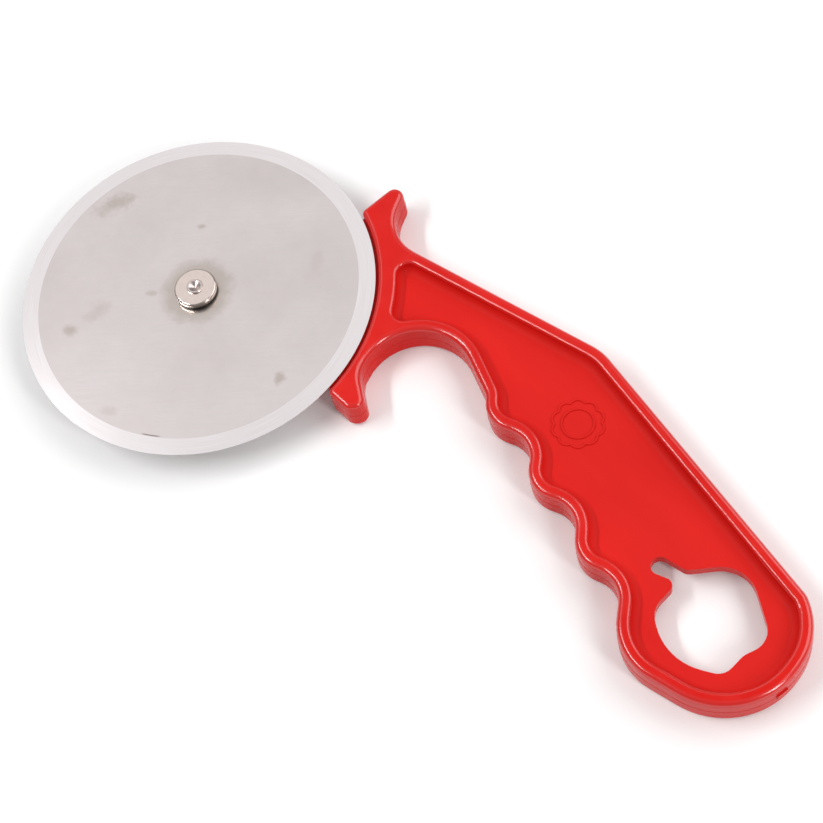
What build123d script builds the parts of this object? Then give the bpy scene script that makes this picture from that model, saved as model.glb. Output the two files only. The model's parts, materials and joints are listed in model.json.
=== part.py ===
"""Pastry cutter wheel: a steel disc that turns on a riveted hub, in a moulded plastic handle.

Millimetres. The tool lies flat on its back: +Z is up along the wheel's axle, +X runs from
the wheel towards the opener in the tail. The origin is on the resting plane, under the
middle of the tool's bounding box. Plan dimensions below are measured from the axle.
"""
from build123d import *
from math import cos, radians, sin
import os

# ---- wheel and hub ----
WHEEL_R = 50.0
WHEEL_BOTTOM = 9.0
WHEEL_T = 1.0
BEVEL_WIDTH = 4.6
EDGE_T = 0.2
SLEEVE_R = 3.0
RUNNING_FIT = 0.05
AXIAL_PLAY = 0.1
COLLAR_R = 5.9
COLLAR_H = 2.2
COLLAR_TOP_ROUND = 0.5
COLLAR_FOOT_ROUND = 0.25
PIN_R = 2.0
PIN_FIT = 0.05
PIN_END_R = 2.25
PIN_PROUD = 0.5
PIN_EDGE = 0.15
DIMPLE_R = 1.7
DIMPLE_DEPTH = 0.9
INNER_WASHER_R = 8.0
BACK_WASHER_R = 6.0
BACK_WASHER_T = 0.8
RIVET_HEAD_R = 4.4
RIVET_HEAD_H = 1.4

# ---- handle moulding ----
HANDLE_T = 10.5
EDGE_ROUND = 1.5
FORK_R = 50.7
FORK_CORNER_R = 1.6
PARTING_PROUD = 0.05
PARTING_HALF = 0.12

RIM = 3.5
FORK_RIM = 5.2
POCKET_DEPTH = 3.75
POCKET_CORNER_R = 3.2
POCKET_FLOOR_R = 2.4
RIM_INNER_ROUND = 1.0
POCKET_START_X = 20.0
POCKET_LOW_Y = -10.0
ARCH_SIDE_X = 53.2

TAIL_END_X = 193.3
TAIL_CENTRE = (171.8, 0.6)
TAIL_R = 21.5

# finger grooves: ridges and valleys alternate along a line that slants down to the tail
GROOVE_COUNT = 3
GROOVE_START = (80.0, 21.3)
GROOVE_ANGLE = -25.2
GROOVE_PITCH = 22.4
FIRST_RIDGE = 13.6
RIDGE_OFFSET = -4.2
VALLEY_OFFSET = 4.9
GROOVE_R = 8.6
LAST_RIDGE_SETBACK = 1.2

# arm under the wheel
ARM_TOP = 8.4
ARM_AXIS_ANGLE = 29.0
ARM_HALF_ANGLE = 33.0
WAIST_CUT_R = 34.5
WAIST_ANGLE = 73.8
BOSS_R = 12.0
BOSS_WALL_R = 13.0
ARM_RECESS_CORNER_R = 1.5
ARM_SEAT = 3.0
COUNTERBORE_R = 6.5
COUNTERBORE_DEPTH = 2.6

# moulded rosette on the web
ROSETTE_CENTRE = (110.5, 26.0)
ROSETTE_R = 7.2
ROSETTE_LOBES = 10
ROSETTE_LINE = 0.5
ROSETTE_H = 0.3
ROSETTE_FLUTE = 0.1
ROSETTE_RING_R = 4.5

# vestige of the injection gate
GATE_WIDTH = 3.4
GATE_H = 1.8
GATE_PROUD = 0.4
GATE_ANGLE = -15.5
GATE_CORNER_R = 0.3

# ---- derived ----
WHEEL_TOP = WHEEL_BOTTOM + WHEEL_T
COLLAR_BOTTOM = WHEEL_TOP + AXIAL_PLAY
COLLAR_TOP = COLLAR_BOTTOM + COLLAR_H
WASHER_TOP = WHEEL_BOTTOM - AXIAL_PLAY
PARTING_Z = HANDLE_T / 2


def polar(radius, angle):
    """Point in plan at a radius and an angle, in degrees, about the wheel's axis."""
    return (radius * cos(radians(angle)), radius * sin(radians(angle)))


def along_grip(distance, offset):
    """Point in plan at a distance along the finger-groove line and an offset into the handle."""
    direction = (cos(radians(GROOVE_ANGLE)), sin(radians(GROOVE_ANGLE)))
    return (
        GROOVE_START[0] + distance * direction[0] - offset * direction[1],
        GROOVE_START[1] + distance * direction[1] + offset * direction[0],
    )


def groove_corners():
    """Corners of the finger grooves, from the tail back to the finger arch."""
    corners = []
    for number in reversed(range(GROOVE_COUNT)):
        ridge = FIRST_RIDGE + number * GROOVE_PITCH
        valley = ridge + GROOVE_PITCH / 2
        # the ridge nearest the tail stands back a little
        setback = LAST_RIDGE_SETBACK if number == GROOVE_COUNT - 1 else 0
        corners.append((along_grip(valley, VALLEY_OFFSET), GROOVE_R))
        corners.append((along_grip(ridge + setback, RIDGE_OFFSET + setback), GROOVE_R))
    return corners


# corners of the handle in plan, clockwise, each with the radius that rounds it
BODY_CORNERS = [
    ((104.5, 45.9), 16.0),          # bend of the spine
    ((184.7, 17.8), 6.4),           # where the spine meets the tail
    ((TAIL_END_X, 11.3), 19.3),
    ((TAIL_END_X, -19.9), TAIL_R),
    ((154.9, -21.8), 16.2),
    *groove_corners(),
    ((86.6, 18.4), 5.0),            # side of the arch
    ((ARCH_SIDE_X, 38.2), 15.2),    # crown of the finger arch
]
HANDLE_CORNERS = [
    ((21.7, 40.2), 0),              # inside the fork, upper side
    ((27.2, 64.8), 2.6),            # upper horn
    ((33.5, 42.7), 12.5),           # neck between the upper horn and the spine
    *BODY_CORNERS,
    ((ARCH_SIDE_X, 5.6), 9.0),      # foot of the arch
    ((62.1, -2.1), 2.6),            # blunt end of the lower horn
    ((58.2, -5.5), 3.0),
    ((44.0, -3.3), 0),              # inside the fork, lower side
]
POCKET_CORNERS = [
    ((POCKET_START_X, 41.93), 0),   # spine carried on to inside the fork
    *BODY_CORNERS,
    ((ARCH_SIDE_X, POCKET_LOW_Y), 0),
    ((POCKET_START_X, POCKET_LOW_Y), 0),
]

# corners of the bottle opener in plan, clockwise; it doubles as the hanging hole
OPENER_CORNERS = [
    ((167.9, 17.8), 9.0),           # side towards the spine
    ((183.9, 3.9), 6.0),            # side towards the tail's end
    ((180.1, -2.8), 7.0),           # lug that rests on the cap
    ((179.2, -9.8), 4.4),
    ((165.5, -14.6), 15.0),         # side towards the grooves
    ((155.3, -5.5), 6.5),
    ((156.5, 3.9), 2.0),            # tooth that catches the cap's rim
    ((148.1, 2.2), 2.3),            # blind end of the notch
    ((148.1, 7.5), 2.3),
    ((156.4, 7.7), 3.0),            # mouth of the notch
]


def inset(corners, distance):
    """Corners of the same outline moved inwards by a distance, radii and all."""
    points = [Vector(*point) for point, _ in corners]
    moved = []
    for here, (_, radius) in enumerate(corners):
        before = points[here] - points[here - 1]
        after = points[(here + 1) % len(points)] - points[here]
        before = before.normalized()
        after = after.normalized()
        turn = before.cross(after).Z
        slide = distance * (1 - before.dot(after)) / turn
        inward = Vector(before.Y, -before.X)
        corner = points[here] + inward * distance + before * slide
        rounding = radius + distance if turn > 0 else radius - distance
        moved.append(((corner.X, corner.Y), rounding if radius else 0))
    return moved


def rounded_outline(corners):
    """Closed outline through corners, each rounded by its own radius."""
    return FilletPolyline(*[point for point, _ in corners], radius=[r for _, r in corners], close=True)


def on_circle(vertices, radius):
    """Those vertices that lie on a circle about the wheel's axis."""
    return [v for v in vertices if abs(Vector(v.X, v.Y).length - radius) < 0.01]


# handle in plan: the cornered outline with the wheel's arc cut out of its fork
with BuildSketch() as handle_plan:
    with BuildLine():
        rounded_outline(HANDLE_CORNERS)
    make_face()
    Circle(FORK_R, mode=Mode.SUBTRACT)
    fillet(on_circle(handle_plan.vertices(), FORK_R), radius=FORK_CORNER_R)

# parting bead in plan: a hair wider than the handle
with BuildSketch() as bead_plan:
    with BuildLine():
        rounded_outline(inset(HANDLE_CORNERS, -PARTING_PROUD))
    make_face()
    Circle(FORK_R - PARTING_PROUD, mode=Mode.SUBTRACT)
    fillet(on_circle(bead_plan.vertices(), FORK_R - PARTING_PROUD), radius=FORK_CORNER_R)

# pocket in plan: the body less its rim, kept clear of the fork
with BuildSketch() as pocket_plan:
    with BuildLine():
        rounded_outline(inset(POCKET_CORNERS, RIM))
    make_face()
    Circle(FORK_R + FORK_RIM, mode=Mode.SUBTRACT)
    fillet(on_circle(pocket_plan.vertices(), FORK_R + FORK_RIM), radius=POCKET_CORNER_R)

# the wheel's axis stands where it puts the origin under the middle of the whole tool
plan_box = bead_plan.sketch.bounding_box()
HUB_X = -(plan_box.max.X - WHEEL_R) / 2
HUB_Y = -(plan_box.max.Y - WHEEL_R) / 2
HUB_AXIS = Axis((HUB_X, HUB_Y, 0), (0, 0, 1))
HUB_SECTION = Plane(origin=(HUB_X, HUB_Y, 0), x_dir=(1, 0, 0), z_dir=(0, -1, 0))


def level(z):
    """Horizontal plane at height z with its origin on the wheel's axis."""
    return Plane(origin=(HUB_X, HUB_Y, z))


# opener in plan
with BuildSketch() as opener_plan:
    with BuildLine():
        rounded_outline(OPENER_CORNERS)
    make_face()

# arm in plan: a wedge from the round hub boss to the fork, its sides cut back by two circles
ARM_WEDGE = [
    polar(BOSS_R, ARM_AXIS_ANGLE + WAIST_ANGLE),
    polar(FORK_R + ARM_SEAT, ARM_AXIS_ANGLE + ARM_HALF_ANGLE),
    polar(2 * FORK_R, ARM_AXIS_ANGLE),
    polar(FORK_R + ARM_SEAT, ARM_AXIS_ANGLE - ARM_HALF_ANGLE),
    polar(BOSS_R, ARM_AXIS_ANGLE - WAIST_ANGLE),
]
WAIST_CENTRES = [
    polar(BOSS_R + WAIST_CUT_R, ARM_AXIS_ANGLE + WAIST_ANGLE),
    polar(BOSS_R + WAIST_CUT_R, ARM_AXIS_ANGLE - WAIST_ANGLE),
]
with BuildSketch() as arm_plan:
    with BuildLine():
        Polyline(*ARM_WEDGE, close=True)
    make_face()
    with Locations(*WAIST_CENTRES):
        Circle(WAIST_CUT_R, mode=Mode.SUBTRACT)
    Circle(FORK_R + ARM_SEAT, mode=Mode.INTERSECT)
    Circle(BOSS_R)

# recess in the arm's back, between the hub boss and the fork
with BuildSketch() as arm_recess_plan:
    with BuildLine():
        Polyline(*ARM_WEDGE, close=True)
    make_face()
    with Locations(*WAIST_CENTRES):
        Circle(WAIST_CUT_R + RIM, mode=Mode.SUBTRACT)
    Circle(BOSS_WALL_R, mode=Mode.SUBTRACT)
    Circle(FORK_R, mode=Mode.INTERSECT)
    fillet(arm_recess_plan.vertices(), radius=ARM_RECESS_CORNER_R)

# rosette in plan: a fluted ring round a plain ring
with BuildSketch() as rosette_plan:
    with BuildLine():
        for lobe in range(ROSETTE_LOBES):
            step = 360 / ROSETTE_LOBES
            ThreePointArc(
                polar(ROSETTE_R * (1 - ROSETTE_FLUTE), lobe * step),
                polar(ROSETTE_R, (lobe + 0.5) * step),
                polar(ROSETTE_R * (1 - ROSETTE_FLUTE), (lobe + 1) * step),
            )
    make_face()
    offset(amount=-ROSETTE_LINE, mode=Mode.SUBTRACT)
    Circle(ROSETTE_RING_R)
    Circle(ROSETTE_RING_R - ROSETTE_LINE, mode=Mode.SUBTRACT)

# ---- handle ----
with BuildPart() as handle:
    with BuildSketch(level(PARTING_Z)):
        add(handle_plan.sketch)
    extrude(amount=PARTING_Z, both=True)
    for face in (handle.faces().sort_by(Axis.Z)[-1], handle.faces().sort_by(Axis.Z)[0]):
        fillet(face.outer_wire().edges(), radius=EDGE_ROUND)

    # bead where the two halves of the mould meet
    with BuildSketch(level(PARTING_Z)):
        add(bead_plan.sketch)
    extrude(amount=PARTING_HALF, both=True)

    # vestige of the injection gate on the tail
    with BuildSketch(level(PARTING_Z)):
        with Locations(TAIL_CENTRE):
            with PolarLocations(TAIL_R + GATE_PROUD - RIM / 2, 1, start_angle=GATE_ANGLE):
                RectangleRounded(RIM, GATE_WIDTH, radius=GATE_CORNER_R)
    extrude(amount=GATE_H / 2, both=True)

    # arm under the wheel
    with BuildSketch(level(0)):
        add(arm_plan.sketch)
    extrude(amount=ARM_TOP)

    # pockets in both faces, with rounded floors
    with BuildSketch(level(HANDLE_T)):
        add(pocket_plan.sketch)
    extrude(amount=-POCKET_DEPTH, mode=Mode.SUBTRACT)
    with BuildSketch(level(0)):
        add(pocket_plan.sketch)
    extrude(amount=POCKET_DEPTH, mode=Mode.SUBTRACT)
    for height in (HANDLE_T - POCKET_DEPTH, POCKET_DEPTH):
        floor = handle.faces().filter_by(Plane.XY).filter_by(
            lambda f: abs(f.center().Z - height) < 0.01).sort_by(SortBy.AREA)[-1]
        fillet(floor.outer_wire().edges(), radius=POCKET_FLOOR_R)
    for face in (handle.faces().sort_by(Axis.Z)[-1], handle.faces().sort_by(Axis.Z)[0]):
        fillet([edge for wire in face.inner_wires() for edge in wire.edges()], radius=RIM_INNER_ROUND)

    # bottle opener through the web
    with BuildSketch(level(PARTING_Z)):
        add(opener_plan.sketch)
    extrude(amount=HANDLE_T, both=True, mode=Mode.SUBTRACT)

    # recess in the arm's back
    with BuildSketch(level(0)):
        add(arm_recess_plan.sketch)
    extrude(amount=POCKET_DEPTH, mode=Mode.SUBTRACT)

    # rivet hole, counterbored from the back
    with Locations(Plane(origin=(HUB_X, HUB_Y, 0), x_dir=(1, 0, 0), z_dir=(0, 0, -1))):
        CounterBoreHole(PIN_R + PIN_FIT, COUNTERBORE_R, COUNTERBORE_DEPTH)

    # rosette on the front web
    with BuildSketch(level(HANDLE_T - POCKET_DEPTH)):
        with Locations(ROSETTE_CENTRE):
            add(rosette_plan.sketch)
    extrude(amount=ROSETTE_H)
handle.part.label = "handle"

# ---- wheel ----
with BuildPart() as cutting_wheel:
    with BuildSketch(HUB_SECTION):
        with BuildLine():
            middle = WHEEL_BOTTOM + WHEEL_T / 2
            Polyline(
                (SLEEVE_R + RUNNING_FIT, WHEEL_BOTTOM),
                (WHEEL_R - BEVEL_WIDTH, WHEEL_BOTTOM),
                (WHEEL_R, middle - EDGE_T / 2),
                (WHEEL_R, middle + EDGE_T / 2),
                (WHEEL_R - BEVEL_WIDTH, WHEEL_TOP),
                (SLEEVE_R + RUNNING_FIT, WHEEL_TOP),
                close=True,
            )
        make_face()
    revolve(axis=HUB_AXIS)
cutting_wheel.part.label = "cutting_wheel"

# ---- hub ----
with BuildPart() as hub_collar:
    with BuildSketch(level(COLLAR_BOTTOM)):
        Circle(COLLAR_R)
    extrude(amount=COLLAR_H)
    fillet(hub_collar.edges().group_by(Axis.Z)[-1], radius=COLLAR_TOP_ROUND)
    fillet(hub_collar.edges().group_by(Axis.Z)[0], radius=COLLAR_FOOT_ROUND)
    with BuildSketch(level(WASHER_TOP)):
        Circle(SLEEVE_R)
    extrude(amount=COLLAR_BOTTOM - WASHER_TOP)
    with BuildSketch(level(WASHER_TOP)):
        Circle(PIN_R + PIN_FIT)
    extrude(amount=COLLAR_TOP - WASHER_TOP, mode=Mode.SUBTRACT)
hub_collar.part.label = "hub_collar"

with BuildPart() as inner_washer:
    with BuildSketch(level(ARM_TOP)):
        Circle(INNER_WASHER_R)
        Circle(PIN_R + PIN_FIT, mode=Mode.SUBTRACT)
    extrude(amount=WASHER_TOP - ARM_TOP)
inner_washer.part.label = "inner_washer"

with BuildPart() as back_washer:
    with BuildSketch(level(COUNTERBORE_DEPTH - BACK_WASHER_T)):
        Circle(BACK_WASHER_R)
        Circle(PIN_R + PIN_FIT, mode=Mode.SUBTRACT)
    extrude(amount=BACK_WASHER_T)
back_washer.part.label = "back_washer"

# rivet: domed head at the back, flared and dimpled end at the front
with BuildPart() as axle_rivet:
    head_top = COUNTERBORE_DEPTH - BACK_WASHER_T
    head_bottom = head_top - RIVET_HEAD_H
    head_rim = head_top - RIVET_HEAD_H / 3
    dome_h = head_rim - head_bottom
    dome_r = (RIVET_HEAD_R ** 2 + dome_h ** 2) / (2 * dome_h)
    pin_end = COLLAR_TOP + PIN_PROUD
    with BuildSketch(HUB_SECTION):
        with BuildLine():
            Polyline(
                (0, head_bottom),
                (0, pin_end - DIMPLE_DEPTH),
                (DIMPLE_R, pin_end),
                (PIN_END_R - PIN_EDGE, pin_end),
                (PIN_END_R, pin_end - PIN_EDGE),
                (PIN_END_R, COLLAR_TOP),
                (PIN_R, COLLAR_TOP),
                (PIN_R, head_top),
                (RIVET_HEAD_R, head_top),
                (RIVET_HEAD_R, head_rim),
            )
            RadiusArc((RIVET_HEAD_R, head_rim), (0, head_bottom), radius=dome_r)
        make_face()
    revolve(axis=HUB_AXIS)
axle_rivet.part.label = "axle_rivet"

os.makedirs("parts", exist_ok=True)
for piece in (handle, cutting_wheel, hub_collar, inner_washer, back_washer, axle_rivet):
    export_step(piece.part, f"parts/{piece.part.label}.step")
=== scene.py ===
"""Looks of the pastry cutter wheel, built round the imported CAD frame. Metres, in the row frame."""
import json
import math
import bpy
from mathutils import Matrix, Vector


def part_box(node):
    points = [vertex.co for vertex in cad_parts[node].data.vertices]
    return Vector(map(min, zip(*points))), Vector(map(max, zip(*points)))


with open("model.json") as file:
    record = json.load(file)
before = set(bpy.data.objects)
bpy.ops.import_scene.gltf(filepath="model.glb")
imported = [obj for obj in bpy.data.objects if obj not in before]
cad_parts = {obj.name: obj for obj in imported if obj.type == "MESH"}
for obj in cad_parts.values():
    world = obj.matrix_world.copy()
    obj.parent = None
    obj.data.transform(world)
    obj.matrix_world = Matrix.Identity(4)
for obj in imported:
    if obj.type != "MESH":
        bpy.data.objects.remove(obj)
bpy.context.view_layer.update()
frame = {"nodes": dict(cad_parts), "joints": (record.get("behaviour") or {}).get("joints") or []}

MM = 0.001
NODES = frame["nodes"]
HUB = Vector(frame["joints"][0]["pos_m"])
BLADE_R = 50.0 * MM
BEVEL_WIDTH = 4.6 * MM


# ---------------------------------------------------------------- material helpers
class Shader:
    """A material with a Principled shader, and short calls that add nodes to it."""

    def __init__(self, name, colour, roughness, metallic=0.0):
        self.material = bpy.data.materials.new(name)
        self.material.use_nodes = True
        self.material.diffuse_color = (*colour, 1.0)
        self.tree = self.material.node_tree
        self.main = self.tree.nodes["Principled BSDF"]
        self.main.inputs["Base Color"].default_value = (*colour, 1.0)
        self.main.inputs["Roughness"].default_value = roughness
        self.main.inputs["Metallic"].default_value = metallic
        self.place = self.tree.nodes.new("ShaderNodeTexCoord").outputs["Object"]

    def node(self, kind, **settings):
        made = self.tree.nodes.new(kind)
        for key, value in settings.items():
            setattr(made, key, value)
        return made

    def feed(self, socket, value):
        """Links a socket to an output, or sets its value."""
        if isinstance(value, bpy.types.NodeSocket):
            self.tree.links.new(value, socket)
        else:
            socket.default_value = value

    def math(self, operation, a, b=0.0):
        made = self.node("ShaderNodeMath", operation=operation)
        self.feed(made.inputs[0], a)
        self.feed(made.inputs[1], b)
        return made.outputs[0]

    def vector(self, operation, a, b=(0, 0, 0), output=0):
        made = self.node("ShaderNodeVectorMath", operation=operation)
        self.feed(made.inputs[0], a)
        self.feed(made.inputs[1], b)
        return made.outputs[output]

    def stretched(self, scale, turn=0.0, source=None):
        """The object's coordinates, turned about Z and then stretched."""
        turned = self.node("ShaderNodeMapping")
        self.feed(turned.inputs["Vector"], source or self.place)
        turned.inputs["Rotation"].default_value = (0, 0, turn)
        return self.vector("MULTIPLY", turned.outputs[0], scale)

    def noise(self, scale, detail=2.0, roughness=0.5, source=None):
        made = self.node("ShaderNodeTexNoise")
        self.feed(made.inputs["Vector"], source or self.place)
        made.inputs["Scale"].default_value = scale
        made.inputs["Detail"].default_value = detail
        made.inputs["Roughness"].default_value = roughness
        return made.outputs["Fac"]

    def span(self, value, foot_shade, high, to_low=0.0, to_high=1.0, smooth=False):
        """value brought from low..high to to_low..to_high, and held there."""
        made = self.node("ShaderNodeMapRange", clamp=True)
        if smooth:
            made.interpolation_type = "SMOOTHSTEP"
        for socket, number in zip(made.inputs, (value, foot_shade, high, to_low, to_high)):
            self.feed(socket, number)
        return made.outputs[0]

    def mix(self, amount, a, b, blend="MIX"):
        """Mixes two colours."""
        made = self.node("ShaderNodeMix", data_type="RGBA", blend_type=blend)
        self.feed(made.inputs["Factor"], amount)
        for name, value in (("A", a), ("B", b)):
            socket = [s for s in made.inputs if s.name == name and s.type == "RGBA"][0]
            if isinstance(value, tuple) and len(value) == 3:
                value = (*value, 1.0)
            self.feed(socket, value)
        return [s for s in made.outputs if s.type == "RGBA"][0]

    def bump(self, height, depth, normal=None):
        """Bump of a height from 0 to 1 that is depth metres tall."""
        made = self.node("ShaderNodeBump")
        made.inputs["Strength"].default_value = 1.0
        made.inputs["Distance"].default_value = depth
        self.feed(made.inputs["Height"], height)
        if normal is not None:
            self.feed(made.inputs["Normal"], normal)
        return made.outputs[0]

    def radius(self, centre):
        """Distance in plan from a vertical line through centre."""
        away = self.vector("SUBTRACT", self.place, tuple(centre))
        flat = self.vector("MULTIPLY", away, (1, 1, 0))
        return self.vector("LENGTH", flat, output="Value")

    def angle(self, centre):
        """Angle in plan about a vertical line through centre, in radians."""
        split = self.node("ShaderNodeSeparateXYZ")
        self.feed(split.inputs[0], self.vector("SUBTRACT", self.place, tuple(centre)))
        return self.math("ARCTAN2", split.outputs["Y"], split.outputs["X"])

    def height(self):
        """Height above the resting plane, in metres."""
        split = self.node("ShaderNodeSeparateXYZ")
        self.feed(split.inputs[0], self.place)
        return split.outputs["Z"]

    def polar(self, centre):
        """Radius and angle about a vertical line, as the X and Y of a vector."""
        joined = self.node("ShaderNodeCombineXYZ")
        self.feed(joined.inputs["X"], self.radius(centre))
        self.feed(joined.inputs["Y"], self.angle(centre))
        return joined.outputs[0]

    def facing(self):
        """Z of the surface's own normal: 1 faces up, -1 faces down."""
        split = self.node("ShaderNodeSeparateXYZ")
        self.feed(split.inputs[0], self.node("ShaderNodeTexCoord").outputs["Normal"])
        return split.outputs["Z"]

    def finish(self, colour=None, roughness=None, normal=None):
        for name, value in (("Base Color", colour), ("Roughness", roughness), ("Normal", normal)):
            if value is not None:
                self.feed(self.main.inputs[name], value)
        return self.material


def dress(name, material):
    """Gives a CAD node its material."""
    piece = NODES[name]
    if not piece.material_slots:
        piece.data.materials.append(material)
    for slot in piece.material_slots:
        slot.material = material


# ---------------------------------------------------------------- red moulded plastic
RED = (0.665, 0.0145, 0.0105)
RED_DEEP = (0.60, 0.0115, 0.0090)
# paler red for rubbed and scuffed plastic, also used as a painted highlight on the top faces
RED_WORN_AND_SHEEN = (0.70, 0.028, 0.022)
TOP_FACE = 10.5 * MM
MID_HEIGHT = TOP_FACE / 2
# the pocket's floors and their rounded feet end this far above and below mid height
POCKET_INNER = 2.9 * MM
POCKET_OUTER = 3.4 * MM
RUB_DEPTH = 0.25 * MM
FLOW_TURN = math.radians(12)
# direction in radians and seed of each set of scuffs
SCUFF_SETS = ((0.5, 0.0), (-0.8, 7.0))


def moulded_plastic():
    s = Shader("moulded_red_plastic", RED, 0.28)
    s.main.inputs["IOR"].default_value = 1.49
    s.main.inputs["Specular IOR Level"].default_value = 0.12
    # pigment streaks that follow the flow from the gate along the handle
    flow = s.noise(1.0, 3.0, source=s.stretched((22, 70, 60), turn=FLOW_TURN))
    colour = s.mix(s.span(flow, 0.35, 0.68), RED, RED_DEEP)
    # rim faces rub on the table and in the hand: paler and duller; on the top faces the paler red is
    # partly a painted highlight, where the rims catch the light
    z = s.height()
    top_rub_and_sheen = s.span(z, TOP_FACE - RUB_DEPTH, TOP_FACE)
    back_rub = s.span(z, RUB_DEPTH, 0.0)
    rub_and_sheen = s.math("MAXIMUM", top_rub_and_sheen, back_rub)
    patchy = s.span(s.noise(120, 4.0, 0.6), 0.45, 0.7)
    rub_and_sheen = s.math("MULTIPLY", rub_and_sheen, patchy)
    colour = s.mix(s.math("MULTIPLY", rub_and_sheen, 0.35), colour, RED_WORN_AND_SHEEN)
    # hairline scuffs in two directions
    scuffs = None
    for turn, seed in SCUFF_SETS:
        shifted = s.vector("ADD", s.place, (seed, seed, 0))
        line = s.noise(1.0, 1.0, source=s.stretched((90, 2600, 90), turn=turn, source=shifted))
        line = s.span(line, 0.70, 0.76)
        scuffs = line if scuffs is None else s.math("MAXIMUM", scuffs, line)
    scuffs = s.math("MULTIPLY", scuffs, s.span(s.noise(45, 2.0), 0.5, 0.65))
    colour = s.mix(s.math("MULTIPLY", scuffs, 0.25), colour, RED_WORN_AND_SHEEN)
    roughness = s.span(s.noise(70, 4.0, 0.6), 0.3, 0.7, 0.15, 0.23)
    # the pocket floors were spark eroded in the mould; the rims and walls were polished
    slope = s.math("ABSOLUTE", s.facing())
    off_middle = s.math("ABSOLUTE", s.math("SUBTRACT", z, MID_HEIGHT))
    in_pocket = s.span(off_middle, POCKET_OUTER, POCKET_INNER)
    floor_zone = s.math("MULTIPLY", s.math("GREATER_THAN", slope, 0.15), in_pocket)
    roughness = s.math("ADD", roughness, s.math("MULTIPLY", floor_zone, 0.40))
    roughness = s.math("ADD", roughness, s.math("MULTIPLY", rub_and_sheen, 0.10))
    roughness = s.math("ADD", roughness, s.math("MULTIPLY", scuffs, 0.15))
    # handling has buffed the rounded edges of the rims to a shine
    buffed = s.math("MULTIPLY", s.span(slope, 0.12, 0.4), s.span(slope, 0.998, 0.98))
    buffed = s.math("MULTIPLY", buffed, s.math("SUBTRACT", 1.0, in_pocket))
    s.feed(s.main.inputs["Coat Weight"], buffed)
    s.main.inputs["Coat Roughness"].default_value = 0.19
    s.main.inputs["Coat IOR"].default_value = 1.6
    normal = s.bump(s.noise(55, 1.0), 0.14 * MM)
    normal = s.bump(s.noise(420, 2.0), 0.005 * MM, normal)
    normal = s.bump(s.noise(2600, 2.0), 0.0007 * MM, normal)
    normal = s.bump(scuffs, -0.004 * MM, normal)
    return s.finish(colour, roughness, normal)


# ---------------------------------------------------------------- steel blade
STEEL = (0.700, 0.645, 0.648)
STEEL_DARK = (0.600, 0.556, 0.548)
GROUND = (0.81, 0.785, 0.795)
STAIN = (0.43, 0.375, 0.32)
SCRATCH = (0.17, 0.15, 0.12)
# smudges on the face, in mm from the axle: x, y, length, width, direction in degrees, strength
SMUDGES = (
    (-39.3, 8.8, 13.0, 6.0, 62, 0.6),
    (-20.0, -20.3, 9.0, 5.0, 75, 0.3),
    (-10.4, -7.6, 3.6, 2.2, 20, 0.5),
    (-12.6, 16.8, 2.8, 1.8, 40, 0.6),
    (37.1, -8.4, 4.0, 3.0, 100, 0.65),
    (-22.2, -29.6, 4.6, 4.0, 30, 0.65),
    (4.0, -42.0, 6.0, 3.6, 10, 0.22),
    (23.0, 25.0, 9.0, 4.5, 120, 0.14),
)
# a short dark scratch that follows the bevel's inner edge
SCRATCH_R = 45.0 * MM
SCRATCH_HALF_WIDTH = 0.26 * MM
SCRATCH_ANGLE = math.radians(-65.5)
# it fades out between these angles from its middle
SCRATCH_OUTER = math.radians(3.7)
SCRATCH_INNER = math.radians(2.22)
# grease rubbed out from under the collar fades between these radii
HALO_INNER = 7.2 * MM
HALO_OUTER = 12.0 * MM
HALO_RAGGED = 2.6 * MM
HALO_STRENGTH = 0.62
GRAIN_TURN = math.radians(-36)
BEVEL_BLEND = 0.03 * MM


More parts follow.
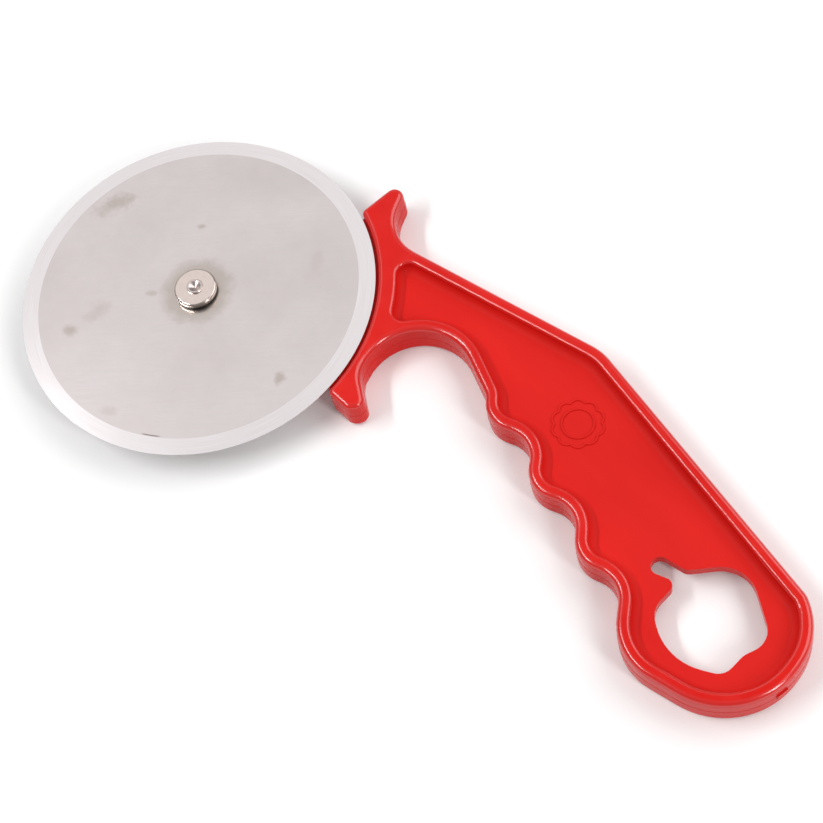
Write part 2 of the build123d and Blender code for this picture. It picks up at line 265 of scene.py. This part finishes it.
def blade_steel():
    s = Shader("ground_blade_steel", STEEL, 0.34, metallic=1.0)
    r = s.radius(HUB)
    bevel_inner = BLADE_R - BEVEL_WIDTH
    on_bevel = s.span(r, bevel_inner - BEVEL_BLEND, bevel_inner + BEVEL_BLEND)
    # rolled sheet: fine straight grain and soft clouds
    grain = s.noise(1.0, 3.0, 0.6, s.stretched((140, 5200, 140), turn=GRAIN_TURN))
    clouds = s.noise(38, 4.0, 0.6)
    colour = s.mix(s.span(clouds, 0.3, 0.75), STEEL, STEEL_DARK)
    colour = s.mix(s.span(grain, 0.35, 0.72, 0.0, 0.35), colour, STEEL_DARK)
    # smudges of use, each a soft patch with a broken edge, on the front only
    ragged = s.span(s.noise(330, 4.0, 0.65), 0.3, 0.7, -0.38, 0.38)
    stain = None
    for x, y, length, width, direction, strength in SMUDGES:
        centre = Vector((HUB.x + x * MM, HUB.y + y * MM, 0))
        away = s.vector("SUBTRACT", s.vector("MULTIPLY", s.place, (1, 1, 0)), tuple(centre))
        size = (2 / (length * MM), 2 / (width * MM), 1)
        scaled = s.stretched(size, -math.radians(direction), away)
        reach = s.vector("LENGTH", scaled, output="Value")
        patch = s.span(s.math("ADD", reach, ragged), 1.3, 0.2, 0.0, strength, smooth=True)
        stain = patch if stain is None else s.math("MAXIMUM", stain, patch)
    stain = s.math("MULTIPLY", stain, s.math("GREATER_THAN", s.facing(), 0.0))
    uneven_r = s.math("ADD", r, s.math("MULTIPLY", ragged, HALO_RAGGED))
    halo = s.span(uneven_r, HALO_OUTER, HALO_INNER, 0.0, HALO_STRENGTH, smooth=True)
    stain = s.math("MAXIMUM", stain, halo)
    off_line = s.math("ABSOLUTE", s.math("SUBTRACT", r, SCRATCH_R))
    arc = s.math("SUBTRACT", 1.0, s.span(off_line, 0.0, SCRATCH_HALF_WIDTH))
    off_centre = s.math("ABSOLUTE", s.math("SUBTRACT", s.angle(HUB), SCRATCH_ANGLE))
    arc = s.math("MULTIPLY", arc, s.span(off_centre, SCRATCH_OUTER, SCRATCH_INNER))
    face = s.mix(arc, s.mix(stain, colour, STAIN), SCRATCH)
    # ground bevel: brighter and smoother, with fine rings
    rings = s.noise(1.0, 3.0, 0.6, s.vector("MULTIPLY", s.polar(HUB), (5200, 3.0, 1)))
    bevel = s.mix(s.span(rings, 0.3, 0.7, 0.0, 0.55), GROUND, STEEL)
    colour = s.mix(on_bevel, face, bevel)
    roughness = s.span(clouds, 0.3, 0.7, 0.24, 0.27)
    roughness = s.math("SUBTRACT", roughness, s.math("MULTIPLY", on_bevel, 0.09))
    height = s.node("ShaderNodeMix", data_type="FLOAT")
    s.feed(height.inputs["Factor"], on_bevel)
    s.feed(height.inputs[2], grain)
    s.feed(height.inputs[3], rings)
    normal = s.bump(s.noise(26, 1.0), 0.03 * MM)
    normal = s.bump(height.outputs[0], 0.0018 * MM, normal)
    return s.finish(colour, roughness, normal)


# ---------------------------------------------------------------- hub metals
COLLAR_THICKNESS = 2.2 * MM
COLLAR_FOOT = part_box("hub_collar")[1].z - COLLAR_THICKNESS
# dark colour painted as shade along the collar's foot, where it sits on the blade
FOOT_SHADE = (0.085, 0.082, 0.075)
# height above the collar's foot where the painted shade starts, and where it is at full strength
FOOT_SHADE_TOP = 1.25 * MM
FOOT_SHADE_FULL = 0.7 * MM


def turned_metal(name, colour, dull, roughness, ring_depth, wear, foot=None):
    """Turned metal: rings about the axle, dull patches, fine pits, and painted shade just above any
    foot.
    """
    s = Shader(name, colour, roughness, metallic=1.0)
    rings = s.noise(1.0, 2.0, 0.6, s.vector("MULTIPLY", s.polar(HUB), (4200, 1.2, 1)))
    patches = s.noise(420, 4.0, 0.6)
    shade = s.mix(s.span(patches, 0.4, 0.7, 0.0, wear), colour, dull)
    shade = s.mix(s.span(rings, 0.35, 0.65, 0.0, 0.25), shade, dull)
    rough = s.span(patches, 0.3, 0.7, roughness * 0.8, roughness * 1.5)
    # painted shade on the side just above the foot, where it meets the blade; it also darkens the
    # side's reflection in the blade, and the side is rougher there
    if foot is not None:
        foot_shade = s.span(s.height(), foot + FOOT_SHADE_TOP, foot + FOOT_SHADE_FULL, smooth=True)
        shade = s.mix(foot_shade, shade, FOOT_SHADE)
        rough = s.math("ADD", rough, s.math("MULTIPLY", foot_shade, 0.25))
    normal = s.bump(rings, ring_depth)
    normal = s.bump(s.span(s.noise(1900, 2.0), 0.68, 0.74), -0.006 * MM, normal)
    return s.finish(shade, rough, normal)


NICKEL, NICKEL_DULL = (0.72, 0.63, 0.585), (0.62, 0.535, 0.485)
RIVET, RIVET_DULL = (0.66, 0.58, 0.56), (0.46, 0.38, 0.36)
dress("handle", moulded_plastic())
dress("cutting_wheel", blade_steel())
dress("hub_collar", turned_metal("polished_nickel", NICKEL, NICKEL_DULL, 0.18, 0.0008 * MM, 0.4,
                                 COLLAR_FOOT))
dress("axle_rivet", turned_metal("bright_rivet_steel", RIVET, RIVET_DULL, 0.26, 0.0006 * MM, 0.5))
for washer, tone in (("inner_washer", 0.62), ("back_washer", 0.58)):
    zinc = turned_metal("zinc_" + washer, (tone,) * 3, (tone * 0.75,) * 3, 0.34, 0.001 * MM, 0.7)
    dress(washer, zinc)

# ---------------------------------------------------------------- stage
FLOOR_HALF = 3.0
FLOOR_GAP = 0.02 * MM
PAPER = (0.86, 0.86, 0.86)
corners = [(x * FLOOR_HALF, y * FLOOR_HALF, 0) for x, y in ((-1, -1), (1, -1), (1, 1), (-1, 1))]
floor_mesh = bpy.data.meshes.new("floor")
floor_mesh.from_pydata(corners, [], [(0, 1, 2, 3)])
floor = bpy.data.objects.new("floor", floor_mesh)
bpy.context.scene.collection.objects.link(floor)
floor.location.z = -FLOOR_GAP
paper = Shader("pale_paper", PAPER, 0.9)
paper.main.inputs["Specular IOR Level"].default_value = 0.1
paper.main.inputs["Emission Color"].default_value = (1.0, 1.0, 1.0, 1.0)
paper.main.inputs["Emission Strength"].default_value = 0.06
floor.data.materials.append(paper.finish(normal=paper.bump(paper.noise(900, 2.0), 0.01 * MM)))

# ---------------------------------------------------------------- camera
CAMERA_AT = Vector((0.193214, -0.139148, 0.448502))
CAMERA_TO = Vector((0.001274, 0.000305, 0.0095))
CAMERA_ROLL = math.radians(-18.245)
camera_data = bpy.data.cameras.new("camera")
camera_data.lens = 83.11
camera_data.sensor_width = 36.0
camera_data.clip_start = 0.01
camera = bpy.data.objects.new("camera", camera_data)
bpy.context.scene.collection.objects.link(camera)
look = (CAMERA_TO - CAMERA_AT).to_track_quat("-Z", "Y").to_matrix().to_4x4()
camera.matrix_world = Matrix.Translation(CAMERA_AT) @ look @ Matrix.Rotation(CAMERA_ROLL, 4, "Z")
bpy.context.scene.camera = camera

# ---------------------------------------------------------------- light
world = bpy.data.worlds.new("studio")
bpy.context.scene.world = world
world.use_nodes = True
background = world.node_tree.nodes["Background"]
background.inputs["Color"].default_value = (1.0, 0.985, 0.98, 1.0)
background.inputs["Strength"].default_value = 0.28


def softbox(name, place, size, radiance, colour=(1, 1, 1)):
    """Adds a rectangular lamp that faces the object."""
    light = bpy.data.lights.new(name, "AREA")
    light.shape = "RECTANGLE"
    light.size, light.size_y = size
    light.energy = radiance * math.pi * size[0] * size[1]
    light.color = colour
    lamp = bpy.data.objects.new(name, light)
    bpy.context.scene.collection.objects.link(lamp)
    lamp.location = place
    lamp.rotation_euler = (-Vector(place)).to_track_quat("-Z", "Y").to_euler()


# two bright strips draw the thin highlights along the rounded edges
softbox("strip_left", (-0.46, -0.39, 0.84), (0.70, 0.075), 31.0)
softbox("strip_right", (0.85, -0.06, 0.60), (0.16, 0.45), 14.0)
# the blade reflects a wide dim box, and another lights the object from behind and above
softbox("blade_fill", (-0.70, 0.33, 1.05), (1.1, 1.0), 0.74, (1.0, 0.98, 0.985))
softbox("back_key", (0.45, 0.80, 0.92), (1.3, 1.0), 2.05)

bpy.context.scene.view_settings.view_transform = "Standard"
